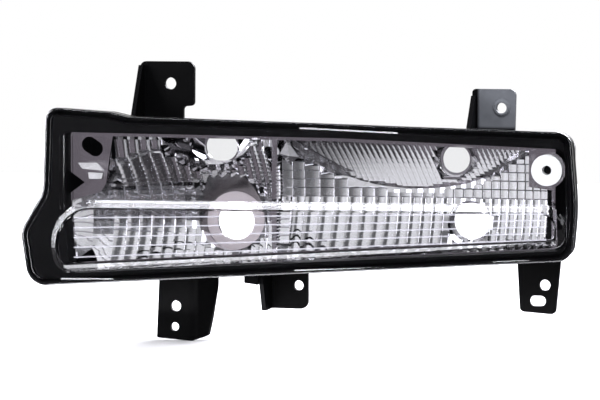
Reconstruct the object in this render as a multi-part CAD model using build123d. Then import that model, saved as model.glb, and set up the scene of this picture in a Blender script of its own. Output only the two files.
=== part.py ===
from build123d import *
from collections import namedtuple
import os

# Sizes are in millimetres. While the lamp is modelled, x runs to the right along the lens, y runs from the
# lens (0 is the front of its rim) back to the bulb ports, and z is up. The last section moves the lamp so
# that its origin is the fixing hole of the upper left tab.

# Outlines in the lens plane, as corners (x, z, corner radius)
LENS_CORNERS = [
    (-140.5, 46.8, 7), (-105, 44.7, 14), (-94, 42.4, 14), (141.8, 37.0, 8), (145.0, -2, 120),
    (142.6, -28.6, 9), (-150.5, -49.4, 11), (-155.0, -19.5, 13), (-142.2, 1.5, 14),
]
WINDOW_CORNERS = [
    (-131, 33.6, 3), (20, 32.4, 200), (138.6, 28.4, 4), (139.6, -23.2, 6), (-127.5, -41.8, 5), (-131, -5, 12),
]
BAND_CORNERS = [(-143, -1.6, 25), (141.0, 1.4, 13), (140.2, -22.2, 7), (-134.5, -41.9, 9)]

# Lens
LENS_WALL = 2.6
LENS_EDGE_RADIUS = 1.6
FIELD_RISE = 1.2
FIELD_MARGIN = 0.8
BAND_RISE = 5.3
BAND_SLOPE = 35.0
BEAD_INSET = 2.4
BEAD_WIDTH = 1.4
BEAD_HEIGHT = 0.6
LEG_THICKNESS = 1.4
RIB_COUNT = 5
RIB_WIDTH = 0.8
RIB_HEIGHT = 0.5
RIB_LEFT_END = -122.0
RIB_LEFT_ROWS = (-11.4, -32.4)
RIB_RIGHT_END = 131.0
RIB_RIGHT_ROWS = (-3.9, -17.0)

# Glue channel round the mouth of the housing, and the sealing bead in it
LENS_OVERHANG = 0.5
LENS_GAP = 0.3
CHANNEL_WALL = 1.2
CHANNEL_WIDTH = 2.4
CHANNEL_DEPTH = 7.1
CHANNEL_FLOOR = 2.0
SEAL_DEPTH = 2.5
SEAL_UNDER_LEG = 1.0

# Housing
TUB_WALL = 2.2
TUB_DRAFT = 1.5
TUB_RIGHT_FRONT = 142.0
TUB_RIGHT_BACK = 137.0
BACK_WALL = 2.5
COLLAR_HEIGHT = 2.5
COLLAR_WALL = 2.4
PORT_CLEARANCE = 1.6
TURRET_GAP = 0.5
TURRET_WALL = 1.6
TURRET_FRONT = 3.0

# Reflector
REFLECTOR_GAP = 0.5
REFLECTOR_SETBACK = 6.1
REFLECTOR_PLATE = 2.0
REFLECTOR_WALL = 1.6
REFLECTOR_END = 132.8
DISH_WALL = 2.2
NECK_DEPTH = 31.0
NECK_GAP = 0.4
DIVIDER_PLACE = -16.4
DIVIDER_WALL = 2.2
TOOTH_PITCH = 1.75
TOOTH_DEPTH = 0.9
TOOTH_COUNT = 26
TOOTH_BOTTOM = -26.0
TURN_BOWL_DEPTH = 27.0
TURN_SMOOTH_END = 20.0
TURN_FLUTE_PITCH = 6.5
TURN_FINE_PITCH = 4.2
RUNNING_BOWL_DEPTH = 26.0
RUNNING_PANEL = 12.0
RUNNING_FIRST_PITCH = 7.6
RUNNING_LAST_PITCH = 3.9
FLUTE_DEPTH_RATIO = 0.24
SCOOP_DEPTH = 30.0
SCOOP_FLUTE_PITCH = 5.6
SCOOP_LEAN = 0.6
SCOOP_LIP_WIDTH = 3.6
SCOOP_LIP_STEP = 1.6
SCOOP_CORNERS = [
    (-16, 50, 0), (-16, 32.5, 0), (-3.4, 21.3, 90), (24, 7.6, 90), (56.7, 3.4, 110), (88, 8.6, 58),
    (118, 28.2, 0), (118, 50, 0),
]
LOCATING_SLOT = (-116.6, 25.6)
LOCATING_SLOT_WIDTH = 8.4
LOCATING_SLOT_TRAVEL = 4.0
LOCATING_SLOT_TURN = -32.0
NOTCH_CORNERS = [(-134, 15.5), (-121, 6.5), (-134, -3)]

# Bulb ports. A neck narrows from its mouth to its end, where the hole is, and the hole may be a slot.
Port = namedtuple("Port", "place hole slot end mouth_place mouth depth")
TURN_PORT = Port((-46.0, -15.2), 10.2, 0.0, 16.2, (-47.3, -9.2), 20.6, 11.0)
UPPER_PORT = Port((-54.0, 24.6), 7.4, 3.0, 9.2, (-54.0, 24.6), 9.4, 12.0)
RUNNING_PORT = Port((83.2, -12.4), 9.6, 0.0, 10.8, (83.2, -12.4), 11.6, 12.0)
SIDE_PORT = Port((74.6, 20.2), 7.3, 0.0, 8.6, (74.6, 20.2), 9.6, 10.0)
PORTS = [TURN_PORT, UPPER_PORT, RUNNING_PORT, SIDE_PORT]
ROOF_PORTS = [UPPER_PORT, SIDE_PORT]
UPPER_FLARE = Port((-54.0, 24.6), 0.0, 0.0, 9.6, (-52.0, 50.8), 33.6, 30.0)

# White bush in the reflector and the stud that it slips over
BUSH_PLACE = (128.6, 17.3)
BUSH_DISC_RADIUS = 8.0
BUSH_DISC = 2.2
BUSH_SHANK_RADIUS = 4.4
BUSH_SHANK = 7.0
BUSH_CLEARANCE = 0.15
BUSH_EDGE = 1.4
STUD_RADIUS = 3.6
STUD_PIN_RADIUS = 2.3
STUD_PIN = 6.0

# Screws that hold the reflector, and the vent
SCREW_PLACES = [(-99.0, -12.0), (22.0, -14.0), (112.0, -9.0)]
SCREW_RADIUS = 1.4
SCREW_CLEARANCE = 0.7
SCREW_PILOT_GAP = 0.05
SCREW_GRIP = 7.0
SCREW_HEAD_RADIUS = 3.5
SCREW_HEAD = 2.2
SCREW_BOSS_WALL = 2.2
SCREW_BOSS = 18.0
VENT_PLACE = (-96.0, 12.0)
VENT_SPIGOT_RADIUS = 3.6
VENT_BORE_RADIUS = 1.8
VENT_SPIGOT = 6.5
VENT_CAP_WALL = 1.6
VENT_CAP_GAP = 0.1
VENT_CAP_LIFT = 1.0

# Fixing tabs
TAB_SETBACK = 13.8
TAB_THICKNESS = 2.5
WEB_THICKNESS = 2.3
EMBOSS_RADIUS = 4.9
EMBOSS_TOP_RADIUS = 3.6
EMBOSS_HEIGHT = 1.4
UPPER_LEFT_TAB = [
    (-97.0, 34, 0), (-97.0, 70.5, 3.2), (-66.7, 70.5, 4), (-66.9, 46.9, 2.2), (-72.9, 46.5, 2),
    (-73.0, 34, 0),
]
UPPER_RIGHT_TAB = [(84.7, 30, 0), (84.7, 57.5, 2), (107.8, 57.5, 3.4), (107.2, 30, 0)]
LOWER_LEFT_TAB = [
    (-86.4, -36, 0), (-88.3, -78.6, 1), (-68.5, -79.9, 3), (-61.8, -77.8, 1.5), (-57.3, -50.7, 20),
    (-57.3, -36, 0),
]
LOWER_LEFT_FOLD = (-66.9, 13.7)
LOWER_LEFT_FOLD_END = -57.3
LOWER_LEFT_FOLD_RADIUS = 6.0
LOWER_CENTRE_TAB = [(-25.9, -34, 0), (-25.9, -60.7, 1), (-3.9, -60.7, 4.2), (-3.9, -34, 0)]
LOWER_CENTRE_FOOT = [(-33.2, -36), (-33.2, -45.3), (-25.9, -46.2), (-25.9, -36)]
LOWER_CENTRE_FOOT_DEPTH = 5.0
LOWER_RIGHT_TAB = [(108.6, -24, 0), (110.6, -58.4, 2.6), (129.4, -59.6, 2.6), (132.6, -24, 0)]
# Front edges of the webs, as (distance ahead of the tab's face, z)
UPPER_LEFT_WEB = [(18.7, 38), (3, 68.5)]
UPPER_RIGHT_WEB = [(18.7, 33), (3, 54)]
LOWER_CENTRE_WEB = [(18.0, -36), (17.5, -46), (12.2, -60.7)]
UPPER_LEFT_HOLE = (-80.1, 58.7)
UPPER_LEFT_HOLE_RADIUS = 3.2
UPPER_RIGHT_HOLE = (100.4, 47.7)
UPPER_RIGHT_HOLE_RADIUS = 2.75
LOWER_LEFT_HOLE = (-77.5, -61.2)
LOWER_LEFT_HOLE_RADIUS = 2.9
LOWER_LEFT_PEG_HOLE = (-78.1, -72.4)
LOWER_LEFT_PEG_HOLE_RADIUS = 2.35
LOWER_CENTRE_HOLE = (-9.0, -48.1)
LOWER_CENTRE_HOLE_RADIUS = 2.65
LOWER_RIGHT_HOLE = (123.7, -44.3)
LOWER_RIGHT_HOLE_RADIUS = 2.85
LOWER_RIGHT_SLOT = (120.0, -52.7)
LOWER_RIGHT_SLOT_RADIUS = 2.75
LOWER_RIGHT_SLOT_TRAVEL = 3.0

# Depths that follow from these sizes
flange_front = LENS_WALL + LENS_GAP
channel_floor = flange_front + CHANNEL_DEPTH
flange_back = channel_floor + CHANNEL_FLOOR
reflector_front = flange_front + REFLECTOR_SETBACK
plate_back = reflector_front + REFLECTOR_PLATE
neck_end = reflector_front + NECK_DEPTH
back_inside = neck_end + REFLECTOR_WALL + NECK_GAP
back_face = back_inside + BACK_WALL
collar_face = back_face + COLLAR_HEIGHT
tab_face = back_face - TAB_SETBACK
tab_back = tab_face + TAB_THICKNESS
divider_left = DIVIDER_PLACE - DIVIDER_WALL / 2
divider_right = DIVIDER_PLACE + DIVIDER_WALL / 2
CUT = 1.0


def outline(corners):
    """Closed outline with rounded corners."""
    points = [(x, z) for x, z, _ in corners]
    return make_face(FilletPolyline(*points, radius=[radius for _, _, radius in corners], close=True))


def sharp_outline(points):
    """Closed outline with sharp corners."""
    return make_face(Polyline(*points, close=True))


def at_depth(face, depth):
    """Outline stood up in the lens plane and moved back."""
    return Plane.XZ.offset(-depth) * face


def slab(face, front, back, taper=0.0):
    """Outline given thickness, from front to back, narrowing to the back by the taper."""
    return extrude(at_depth(face, front), front - back, taper=taper)


def ring(face, outer, inner):
    """Strip of an outline between two insets from its edge."""
    return offset(face, -outer) - offset(face, -inner)


def post(place, radius, front, back):
    """Round bar along y."""
    return slab(Pos(*place) * Circle(radius), front, back)


def funnel(place, mouth_radius, end_radius, front, back):
    """Cone along y with its wide mouth at the front."""
    mouth = at_depth(Pos(*place) * Circle(mouth_radius), front)
    end = at_depth(Pos(*place) * Circle(end_radius), back)
    return loft([mouth, end])


def neck(port, wall=0.0, lead=0.0):
    """Cone of a port's neck, or of its outside when a wall is given; the lead opens its mouth early."""
    mouth = at_depth(Pos(*port.mouth_place) * Circle(port.mouth + wall), neck_end - port.depth - lead)
    end = at_depth(Pos(*port.place) * Circle(port.end + wall), neck_end + wall)
    return loft([mouth, end])


def port_radius(port):
    """Radius of the round opening in the housing that takes the bulb holder."""
    return port.hole + port.slot / 2 + PORT_CLEARANCE


def steps(start, end, count):
    """Evenly spaced values, both ends included."""
    return [start + (end - start) * i / count for i in range(count + 1)]


def pitches(start, first, last, end):
    """Values from start to just past end, with a pitch that goes evenly from the first value to the last."""
    values = [start]
    while values[-1] < end:
        share = (values[-1] - start) / (end - start)
        values.append(values[-1] + first + (last - first) * share)
    return values


lens_outline = outline(LENS_CORNERS)
window = outline(WINDOW_CORNERS)
scoop = outline(SCOOP_CORNERS)
channel_inset = LENS_OVERHANG + CHANNEL_WALL
channel = ring(lens_outline, channel_inset, channel_inset + CHANNEL_WIDTH)
leg_inset = channel_inset + (CHANNEL_WIDTH - LEG_THICKNESS) / 2
leg = ring(lens_outline, leg_inset, leg_inset + LEG_THICKNESS)
leg_end = channel_floor - SEAL_UNDER_LEG


# Lens: one clear moulding with a rounded edge, a bead round the rim, a raised window field and a
# deep band across its lower half with fine ribs on it.
def band_block(base, depth):
    """Raised band with sloping sides."""
    return extrude(at_depth(base, depth), FIELD_RISE + BAND_RISE, taper=BAND_SLOPE)


def band_ribs():
    """Ribs that fan out across the band, from its low right end to its tall left end."""
    face = -FIELD_RISE - BAND_RISE
    half = RIB_WIDTH / 2
    left_rows = steps(*RIB_LEFT_ROWS, RIB_COUNT - 1)
    right_rows = steps(*RIB_RIGHT_ROWS, RIB_COUNT - 1)
    ribs = []
    for left, right in zip(left_rows, right_rows):
        rib = sharp_outline([(RIB_LEFT_END, left - half), (RIB_RIGHT_END, right - half),
                             (RIB_RIGHT_END, right + half), (RIB_LEFT_END, left + half)])
        ribs.append(slab(rib, face - RIB_HEIGHT, face + LENS_WALL / 2))
    return ribs


def make_lens():
    """Front plate, bead, field and band, hollowed to the lens wall, with the leg behind the rim."""
    plate = slab(lens_outline, 0, LENS_WALL)
    plate = fillet(plate.faces().sort_by(Axis.Y)[0].edges(), LENS_EDGE_RADIUS)
    bead = slab(ring(lens_outline, BEAD_INSET, BEAD_INSET + BEAD_WIDTH), -BEAD_HEIGHT, LENS_WALL / 2)
    field = slab(offset(window, FIELD_MARGIN), -FIELD_RISE, LENS_WALL / 2)
    pocket = slab(offset(window, -FIELD_MARGIN), LENS_WALL - FIELD_RISE, LENS_WALL + CUT)
    band = outline(BAND_CORNERS)
    body = plate + bead + field + band_block(band, 0)
    body -= pocket
    body -= band_block(offset(band, -LENS_WALL / 2), LENS_WALL)
    return body + band_ribs() + slab(leg, LENS_WALL / 2, leg_end)


# Housing: a black tub with a glue channel round its mouth, collars for the bulb holders and five tabs.
def tab_plate(corners):
    """Flat tab in the plane of the tab faces."""
    return slab(outline(corners), tab_face, tab_back)


def web(tab, front):
    """Upright web that runs forward from the left edge of a tab."""
    points = [(tab_face - reach, z) for reach, z in front]
    points += [(tab_back, front[-1][1]), (tab_back, front[0][1])]
    return Pos(tab[0][0], 0, 0) * extrude(Plane.YZ * sharp_outline(points), WEB_THICKNESS)


def folded_tab():
    """Lower left tab: a plate whose right side is folded back, trimmed to its outline."""
    fold_x, fold_depth = LOWER_LEFT_FOLD
    run = LOWER_LEFT_FOLD_END - fold_x
    length = (run ** 2 + fold_depth ** 2) ** 0.5
    across = (-fold_depth / length * TAB_THICKNESS, run / length * TAB_THICKNESS)
    inner_x = fold_x - TAB_THICKNESS * (length - run) / fold_depth
    left = LOWER_LEFT_TAB[1][0] - CUT
    section = outline([
        (left, tab_face, 0), (fold_x, tab_face, LOWER_LEFT_FOLD_RADIUS),
        (fold_x + run, tab_face + fold_depth, 0),
        (fold_x + run + across[0], tab_face + fold_depth + across[1], 0),
        (inner_x, tab_back, LOWER_LEFT_FOLD_RADIUS - TAB_THICKNESS), (left, tab_back, 0),
    ])
    low = LOWER_LEFT_TAB[2][1] - CUT
    sheet = Pos(0, 0, low) * extrude(section, LOWER_LEFT_TAB[0][1] - low)
    return sheet & slab(outline(LOWER_LEFT_TAB), tab_face - CUT, back_face)


def fixing_tabs():
    """The five tabs with their webs, before the holes."""
    flat_tabs = [UPPER_LEFT_TAB, UPPER_RIGHT_TAB, LOWER_CENTRE_TAB, LOWER_RIGHT_TAB]
    tabs = [tab_plate(corners) for corners in flat_tabs]
    webs = [web(UPPER_LEFT_TAB, UPPER_LEFT_WEB), web(UPPER_RIGHT_TAB, UPPER_RIGHT_WEB),
            web(LOWER_CENTRE_TAB, LOWER_CENTRE_WEB)]
    foot_back = flange_back + LOWER_CENTRE_FOOT_DEPTH
    foot = slab(sharp_outline(LOWER_CENTRE_FOOT), flange_back - CHANNEL_FLOOR, foot_back)
    emboss = funnel(UPPER_RIGHT_HOLE, EMBOSS_TOP_RADIUS, EMBOSS_RADIUS, tab_face - EMBOSS_HEIGHT, tab_face)
    return tabs + webs + [folded_tab(), foot, emboss]


def tab_holes():
    """Round holes and the slot through the tabs."""
    round_holes = [
        (UPPER_LEFT_HOLE, UPPER_LEFT_HOLE_RADIUS), (UPPER_RIGHT_HOLE, UPPER_RIGHT_HOLE_RADIUS),
        (LOWER_LEFT_HOLE, LOWER_LEFT_HOLE_RADIUS), (LOWER_LEFT_PEG_HOLE, LOWER_LEFT_PEG_HOLE_RADIUS),
        (LOWER_CENTRE_HOLE, LOWER_CENTRE_HOLE_RADIUS), (LOWER_RIGHT_HOLE, LOWER_RIGHT_HOLE_RADIUS),
    ]
    front = tab_face - EMBOSS_HEIGHT - CUT
    cuts = [post(place, radius, front, tab_back + CUT) for place, radius in round_holes]
    slot = Pos(*LOWER_RIGHT_SLOT) * SlotCenterToCenter(LOWER_RIGHT_SLOT_TRAVEL, 2 * LOWER_RIGHT_SLOT_RADIUS)
    return cuts + [slab(slot, tab_face - CUT, tab_back + CUT)]


def tub_limit(inset):
    """Block that ends at the tub's right side, which leans in towards the back."""
    left = LENS_CORNERS[7][0]
    points = [(left, 0), (TUB_RIGHT_FRONT - inset, 0), (TUB_RIGHT_FRONT - inset, flange_back),
              (TUB_RIGHT_BACK - inset, back_face), (left, back_face)]
    return extrude(sharp_outline(points), LENS_CORNERS[0][1], both=True)


def make_housing():
    """Flange, tub, tabs and collars, hollowed, then the stud, the ports and the holes."""
    body = slab(offset(lens_outline, -LENS_OVERHANG), flange_front, flange_back)
    body += slab(offset(window, TUB_WALL), flange_front, back_face, TUB_DRAFT) & tub_limit(0)
    for port in ROOF_PORTS:
        radius = port.mouth + REFLECTOR_WALL + TURRET_GAP
        front = neck_end - port.depth - TURRET_FRONT
        body += post(port.place, radius + TURRET_WALL, front - TURRET_WALL, back_face)
    body += fixing_tabs()
    for port in PORTS:
        body += post(port.place, port_radius(port) + COLLAR_WALL, back_inside, collar_face)
    body += post(VENT_PLACE, VENT_SPIGOT_RADIUS, back_inside, back_face + VENT_SPIGOT)
    body -= slab(window, flange_front - CUT, back_inside, TUB_DRAFT) & tub_limit(TUB_WALL)
    for port in ROOF_PORTS:
        radius = port.mouth + REFLECTOR_WALL + TURRET_GAP
        body -= post(port.place, radius, neck_end - port.depth - TURRET_FRONT, back_inside)
    body -= slab(channel, flange_front - CUT, channel_floor)
    stud_front = plate_back + BUSH_SHANK
    body += post(BUSH_PLACE, STUD_RADIUS, stud_front, back_face)
    body += post(BUSH_PLACE, STUD_PIN_RADIUS, stud_front - STUD_PIN, stud_front + CUT)
    for port in PORTS:
        body -= post(port.place, port_radius(port), back_inside - CUT, collar_face + CUT)
    for place in SCREW_PLACES:
        body -= post(place, SCREW_RADIUS + SCREW_CLEARANCE, back_inside - CUT, back_face + CUT)
    body -= post(VENT_PLACE, VENT_BORE_RADIUS, back_inside - CUT, back_face + VENT_SPIGOT + CUT)
    return body - tab_holes()


def make_lens_seal():
    """Bead of sealant at the bottom of the channel, round the lens leg."""
    return slab(channel, channel_floor - SEAL_DEPTH, channel_floor) - slab(leg, flange_front, leg_end)


# Reflector: one bright moulding with two fluted bowls, a scoop above the right bowl and a neck for each bulb.
def turn_depth(x, z):
    """Back of the left bowl: deepest near its bulb, curving forward to the roof and to the left end."""
    bulb_x, bulb_z = TURN_PORT.place
    return reflector_front + TURN_BOWL_DEPTH - (z - bulb_z - 2) ** 2 / 68 - (x - bulb_x) ** 2 / 264


def running_depth(x, z):
    """Back of the right bowl: a shallow trough that faces a little upwards below its bulb's roof."""
    bulb_x, bulb_z = RUNNING_PORT.place
    return reflector_front + RUNNING_BOWL_DEPTH - (z - bulb_z - 20) ** 2 / 110 - (x - bulb_x) ** 2 / 700


def scoop_depth(x, z):
    """Back of the scoop: a long dish behind the right bowl, deepest beside the upper right bulb."""
    bulb_x, bulb_z = SIDE_PORT.place
    return reflector_front + SCOOP_DEPTH - (x - bulb_x + 16) ** 2 / 400 - (z - bulb_z - 6) ** 2 / 50


def lip_depth(x, z):
    """Back of the smooth lip round the scoop, a step behind the right bowl."""
    return running_depth(x, z) + SCOOP_LIP_STEP


def bowl(edges, levels, depth, ratio=FLUTE_DEPTH_RATIO, lean=0.0):
    """Space in front of a fluted back: a flute with two flat sides lies between two edges, a smooth stretch
    that is wider than the widest flute being no deeper."""
    mouth = reflector_front - CUT
    sections = []
    for z in levels:
        shift = lean * (levels[-1] - z)
        back = [(x + shift, max(depth(x + shift, z), reflector_front + CUT)) for x in edges]
        corners = [back[-1], (back[-1][0], mouth), (back[0][0], mouth), back[0]]
        lines = [Line(start, end) for start, end in zip(corners, corners[1:])]
        for (x0, y0), (x1, y1) in zip(back, back[1:]):
            hollow = min(x1 - x0, RUNNING_FIRST_PITCH) * ratio
            middle = ((x0 + x1) / 2, (y0 + y1) / 2 + hollow)
            stops = [(x0, y0), middle, (x1, y1)] if ratio else [(x0, y0), (x1, y1)]
            lines += [Line(start, end) for start, end in zip(stops, stops[1:])]
        sections.append(Pos(0, 0, z) * make_face(lines))
    return loft(sections, ruled=True)


def behind(depth):
    """Depth of the outside of a bowl, a wall behind its deepest flutes."""
    return lambda x, z: depth(x, z) + TURN_FLUTE_PITCH * FLUTE_DEPTH_RATIO + DISH_WALL


def toothed_wall():
    """Points of the right side of the divider, with a row of small level teeth."""
    points = []
    for i in range(TOOTH_COUNT):
        z = TOOTH_BOTTOM + i * TOOTH_PITCH
        points += [(divider_right, z), (divider_right + TOOTH_DEPTH, z + TOOTH_PITCH / 2)]
    return points


TURN_MOUTH = [
    (divider_left, -60), (divider_left, 60), (-105, 60), (-105, 32), (-107.5, 17), (-109, 6), (-112, 1.5),
    (-128.6, -3.5), (-128.6, -60),
]
RUNNING_MOUTH = [(divider_right, 60), (119, 60), (119, 8.5), (131, 7), (131, -60), (divider_right, -60)]
TURN_LEVELS = [-43, -36, -29, -22, -15, -8, -1, 6, 13, 20, 27, 36]
RUNNING_LEVELS = [-38, -31, -24, -17, -10, -3, 4, 11, 18, 25, 34]
SCOOP_LEVELS = [-4, 9, 22, 34]


def reflector_walls(room):
    """Front plate, the outsides of the bowls and necks, and the screw bosses."""
    inset = offset(window, -REFLECTOR_GAP)
    beyond_end = Pos(REFLECTOR_END + 50, 0) * Rectangle(100, 200)
    bush_lobe = inset & (Pos(*BUSH_PLACE) * Circle(BUSH_DISC_RADIUS + BUSH_EDGE))
    body = slab(inset - beyond_end, reflector_front, plate_back) + slab(bush_lobe, reflector_front, plate_back)
    turn_outside = offset(sharp_outline(TURN_MOUTH), REFLECTOR_WALL)
    running_outside = offset(sharp_outline(RUNNING_MOUTH), REFLECTOR_WALL)
    turn_side = room & slab(turn_outside, reflector_front, back_inside)
    running_side = room & slab(running_outside, reflector_front, back_inside)
    scoop_side = running_side & slab(offset(scoop, REFLECTOR_WALL), reflector_front, back_inside)
    body += turn_side & bowl(steps(-135, -10, 8), TURN_LEVELS, behind(turn_depth), 0)
    body += running_side & bowl(steps(-22, 138, 8), RUNNING_LEVELS, behind(running_depth), 0)
    body += scoop_side & bowl(steps(-32, 124, 13), SCOOP_LEVELS, behind(scoop_depth), 0, SCOOP_LEAN)
    for port in PORTS:
        outside = neck(port, REFLECTOR_WALL)
        body += outside if port in ROOF_PORTS else outside & room
    body += neck(UPPER_FLARE, REFLECTOR_WALL) & turn_side
    for place in SCREW_PLACES:
        body += post(place, SCREW_RADIUS + SCREW_BOSS_WALL, back_inside - SCREW_BOSS, back_inside)
    return body


def port_hole(port):
    """Hole at the end of a neck, round or a level slot."""
    shape = SlotCenterToCenter(port.slot, 2 * port.hole) if port.slot else Circle(port.hole)
    return slab(Pos(*port.place) * shape, neck_end - CUT, neck_end + REFLECTOR_WALL + CUT)


def make_reflector():
    """Walls with the fluted bowls, the necks, the holes and the notch cut out of them."""
    room = slab(offset(window, -REFLECTOR_GAP), reflector_front, back_inside, TUB_DRAFT)
    space = slab(offset(window, -REFLECTOR_GAP - REFLECTOR_WALL), reflector_front - CUT, neck_end, TUB_DRAFT)
    body = reflector_walls(room)
    turn_left = TURN_MOUTH[-1][0]
    smooth_end = turn_left + TURN_SMOOTH_END
    panel_end = divider_right + RUNNING_PANEL
    turn_edges = [turn_left - CUT, *pitches(smooth_end, TURN_FLUTE_PITCH, TURN_FINE_PITCH, -14)]
    running_edges = [divider_left, *pitches(panel_end, RUNNING_FIRST_PITCH, RUNNING_LAST_PITCH, 132)]
    scoop_edges = pitches(-30, SCOOP_FLUTE_PITCH, SCOOP_FLUTE_PITCH, 118)
    front = reflector_front - CUT
    turn_space = space & slab(sharp_outline(TURN_MOUTH), front, neck_end)
    running_space = space & slab(sharp_outline(RUNNING_MOUTH + toothed_wall()), front, neck_end)
    lip_space = running_space & slab(scoop, front, neck_end)
    scoop_space = running_space & slab(offset(scoop, -SCOOP_LIP_WIDTH), front, neck_end)
    body -= turn_space & bowl(turn_edges, TURN_LEVELS, turn_depth)
    body -= running_space & bowl(running_edges, RUNNING_LEVELS, running_depth)
    body -= lip_space & bowl(steps(-22, 138, 8), RUNNING_LEVELS, lip_depth, 0)
    body -= scoop_space & bowl(scoop_edges, SCOOP_LEVELS, scoop_depth, lean=SCOOP_LEAN)
    for port in PORTS:
        inside = neck(port, lead=CUT / 2)
        body -= inside if port in ROOF_PORTS else inside & space
        body -= port_hole(port)
    body -= neck(UPPER_FLARE) & turn_space
    pilot = SCREW_RADIUS + SCREW_PILOT_GAP
    for place in SCREW_PLACES:
        body -= post(place, pilot, back_inside - SCREW_GRIP - CUT, back_inside + CUT)
    body -= post(BUSH_PLACE, BUSH_SHANK_RADIUS + BUSH_CLEARANCE, front, plate_back + CUT)
    slot = Rot(0, 0, LOCATING_SLOT_TURN) * SlotCenterToCenter(LOCATING_SLOT_TRAVEL, LOCATING_SLOT_WIDTH)
    body -= slab(Pos(*LOCATING_SLOT) * slot, front, plate_back + CUT)
    return body - slab(sharp_outline(NOTCH_CORNERS), front, plate_back + CUT)


# Small pieces
def make_reflector_bush():
    """White bush: a disc on the front of the reflector and a shank through it, bored for the stud."""
    body = post(BUSH_PLACE, BUSH_DISC_RADIUS, reflector_front - BUSH_DISC, reflector_front)
    body += post(BUSH_PLACE, BUSH_SHANK_RADIUS, reflector_front - CUT, plate_back + BUSH_SHANK)
    return body - post(BUSH_PLACE, STUD_PIN_RADIUS + BUSH_CLEARANCE, 0, back_face)


def make_reflector_screws():
    """Screws from the back of the housing into the reflector's bosses."""
    screws = []
    for place in SCREW_PLACES:
        head = post(place, SCREW_HEAD_RADIUS, back_face, back_face + SCREW_HEAD)
        screws.append(head + post(place, SCREW_RADIUS, back_inside - SCREW_GRIP, back_face + CUT))
    return Compound(children=screws)


def make_vent_cap():
    """Rubber cap over the vent spigot, open at its mouth."""
    inside = VENT_SPIGOT_RADIUS + VENT_CAP_GAP
    end = back_face + VENT_SPIGOT + VENT_CAP_GAP
    cup = post(VENT_PLACE, inside + VENT_CAP_WALL, back_face + VENT_CAP_LIFT, end + VENT_CAP_WALL)
    return cup - post(VENT_PLACE, inside, back_face, end)


nodes = {
    "housing": make_housing(),
    "lens": make_lens(),
    "lens_seal": make_lens_seal(),
    "reflector": make_reflector(),
    "reflector_bush": make_reflector_bush(),
    "reflector_screws": make_reflector_screws(),
    "vent_cap": make_vent_cap(),
}
to_datum = Pos(-UPPER_LEFT_HOLE[0], -tab_face, -UPPER_LEFT_HOLE[1])
os.makedirs("parts", exist_ok=True)
for name, solid in nodes.items():
    export_step(to_datum * solid, f"parts/{name}.step")
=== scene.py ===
# %% [markdown]
# # A daytime running light
# A long car lamp: a clear lens is glued over a black housing, and a bright fluted reflector sits between
# them. The solids come from the CAD frame. This lesson gives them their finishes and their finest forms, then
# sets the stage, the light and the camera.

# %% Load the frame
import bpy
import math
from collections import namedtuple
from mathutils import Matrix, Vector


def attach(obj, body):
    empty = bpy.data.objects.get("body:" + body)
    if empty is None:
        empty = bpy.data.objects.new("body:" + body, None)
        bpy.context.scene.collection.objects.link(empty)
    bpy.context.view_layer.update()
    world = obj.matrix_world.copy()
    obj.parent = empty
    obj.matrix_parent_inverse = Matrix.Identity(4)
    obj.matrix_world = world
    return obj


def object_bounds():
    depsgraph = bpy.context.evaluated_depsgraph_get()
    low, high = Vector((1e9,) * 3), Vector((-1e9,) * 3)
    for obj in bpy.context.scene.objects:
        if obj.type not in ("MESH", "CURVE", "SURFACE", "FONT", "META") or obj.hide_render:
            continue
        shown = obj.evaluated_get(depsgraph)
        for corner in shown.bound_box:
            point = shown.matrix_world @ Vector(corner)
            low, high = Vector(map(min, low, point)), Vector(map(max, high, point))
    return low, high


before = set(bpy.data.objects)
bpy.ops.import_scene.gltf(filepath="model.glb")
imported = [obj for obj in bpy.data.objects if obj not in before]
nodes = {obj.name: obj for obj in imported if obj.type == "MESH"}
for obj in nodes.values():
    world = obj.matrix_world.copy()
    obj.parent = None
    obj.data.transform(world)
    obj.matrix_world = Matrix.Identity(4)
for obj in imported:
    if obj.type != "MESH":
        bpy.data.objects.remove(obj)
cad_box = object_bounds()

print("nodes:", ", ".join(sorted(nodes)))

# %% [markdown]
# ## The camera
# The lamp is seen from a little to its right and a little above, from a good distance, so its sides stay
# nearly parallel. The target is the middle of the picture on the lens. A long focal length from 1.5 m keeps
# the same look as a product photograph; a short one from nearby would swell the near end.

# %% Camera
LENS_MIDDLE = Vector((0.0801, -0.0307, -0.0587))
CAMERA_TURN, CAMERA_RISE, CAMERA_AWAY = math.radians(15.0), math.radians(4.5), 1.5
PICTURE_WIDTH, SENSOR_WIDTH = 0.312, 36.0
CLIP_NEAR, CLIP_FAR = 0.05, 20.0

toward_camera = Vector((math.sin(CAMERA_TURN) * math.cos(CAMERA_RISE),
                        -math.cos(CAMERA_TURN) * math.cos(CAMERA_RISE), math.sin(CAMERA_RISE)))
camera = bpy.data.objects.new("camera", bpy.data.cameras.new("camera"))
bpy.context.scene.collection.objects.link(camera)
camera.data.sensor_width = SENSOR_WIDTH
camera.data.lens = SENSOR_WIDTH * CAMERA_AWAY / PICTURE_WIDTH
camera.data.clip_start, camera.data.clip_end = CLIP_NEAR, CLIP_FAR
camera.location = LENS_MIDDLE + toward_camera * CAMERA_AWAY
camera.rotation_euler = (-toward_camera).to_track_quat("-Z", "Y").to_euler()
bpy.context.scene.camera = camera
print("camera at", [round(v, 3) for v in camera.location], "with a lens of", round(camera.data.lens, 1), "mm")

# %% [markdown]
# ## A helper for materials
# Every finish here is a Principled BSDF with its constant values set on the shader's own sockets. The helper
# makes the material, sets those values and hands back the node tree, so that a cell can add what varies over
# the surface. Setting up each material by hand would repeat the same lines for all eleven.

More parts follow.
